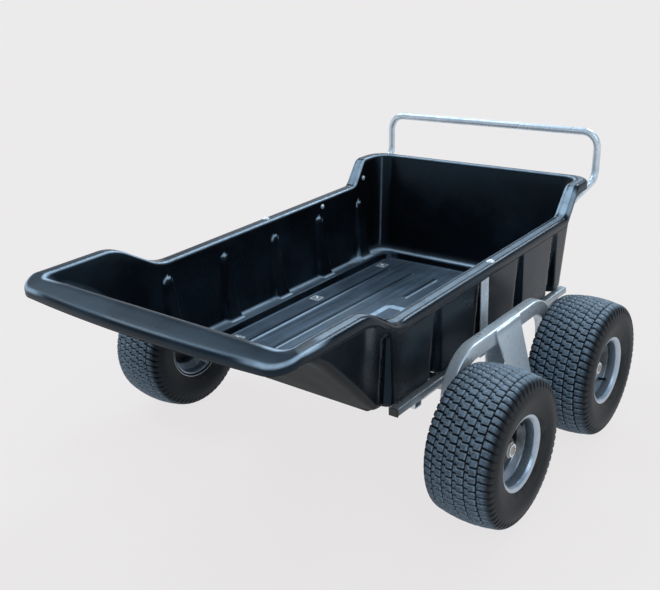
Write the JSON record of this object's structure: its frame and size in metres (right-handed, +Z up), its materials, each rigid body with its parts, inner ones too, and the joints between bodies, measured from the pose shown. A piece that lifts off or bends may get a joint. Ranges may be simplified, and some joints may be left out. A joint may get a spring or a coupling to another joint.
{
  "type": "tipping tandem-wheel atv trailer",
  "caption": "Tipping trailer for an all-terrain vehicle: moulded tub with a rear dump lip, walking-beam wheel pairs, a push handle, a drawbar with pin hitch and a drop leg.",
  "frame": {"origin": "on the ground, under the middle of the bounding box", "axes": "+Z up, +X forward to the hitch, +Y to the left"},
  "size_m": [2.5017, 1.5126, 0.9065],
  "materials": {
    "tub_plastic": "satin moulded polyethylene",
    "galvanised": "hot-dip galvanised",
    "zinc": "bright zinc",
    "rim_silver": "silver paint",
    "tyre_rubber": "moulded rubber",
    "black_trim": "matt"
  },
  "bodies": {
    "chassis": {"drawbar": "galvanised", "drawbar_cap": "black_trim", "cross_axle": "galvanised", "hitch_tongue": "galvanised", "drawbar_brace_right": "galvanised", "drawbar_brace_left": "galvanised", "hinge_beam": "galvanised", "hinge_struts": "galvanised", "hinge_lugs": "galvanised", "hinge_pins": "zinc", "bed_rest_pad": "black_trim", "bed_keeper": "galvanised", "stand_bracket": "galvanised", "bogie_beam_right": "galvanised", "bogie_bracket_right": "galvanised", "bogie_spindle_right": "zinc", "stub_axles_right": "zinc", "bogie_beam_left": "galvanised", "bogie_bracket_left": "galvanised", "bogie_spindle_left": "zinc", "stub_axles_left": "zinc"},
    "bed": {"tub": "tub_plastic", "push_handle": "galvanised", "strap_right": "galvanised", "strap_left": "galvanised", "bed_rail_right": "galvanised", "bed_rail_left": "galvanised", "rail_caps": "black_trim", "bed_cross_members": "galvanised", "bed_hinge_eyes": "galvanised", "bed_tongue": "galvanised"},
    "drop_leg_body": {"drop_leg": "zinc", "drop_leg_foot": "zinc"},
    "wheel_rear_right": {"tyre_rear_right": "tyre_rubber", "wheel_rim_rear_right": "rim_silver", "hub_rear_right": "rim_silver"},
    "wheel_front_right": {"tyre_front_right": "tyre_rubber", "wheel_rim_front_right": "rim_silver", "hub_front_right": "rim_silver"},
    "wheel_rear_left": {"tyre_rear_left": "tyre_rubber", "wheel_rim_rear_left": "rim_silver", "hub_rear_left": "rim_silver"},
    "wheel_front_left": {"tyre_front_left": "tyre_rubber", "wheel_rim_front_left": "rim_silver", "hub_front_left": "rim_silver"}
  },
  "joints": [
    {"name": "bed_tip", "type": "hinge", "parent": "chassis", "child": "bed", "pos_m": [-0.439, 0, 0.272], "axis": [0, -1, 0], "range_deg": [0, 42]},
    {"name": "drop_leg_swing", "type": "hinge", "parent": "chassis", "child": "drop_leg_body", "pos_m": [0.941, -0.0524, 0.265], "axis": [0, 1, 0], "range_deg": [0, 90]},
    {"name": "wheel_rear_right_spin", "type": "hinge", "parent": "chassis", "child": "wheel_rear_right", "pos_m": [-0.545, -0.648, 0.2286], "axis": [0, 1, 0], "continuous": true},
    {"name": "wheel_front_right_spin", "type": "hinge", "parent": "chassis", "child": "wheel_front_right", "pos_m": [0.067, -0.648, 0.2286], "axis": [0, 1, 0], "continuous": true},
    {"name": "wheel_rear_left_spin", "type": "hinge", "parent": "chassis", "child": "wheel_rear_left", "pos_m": [-0.545, 0.648, 0.2286], "axis": [0, 1, 0], "continuous": true},
    {"name": "wheel_front_left_spin", "type": "hinge", "parent": "chassis", "child": "wheel_front_left", "pos_m": [0.067, 0.648, 0.2286], "axis": [0, 1, 0], "continuous": true}
  ]
}
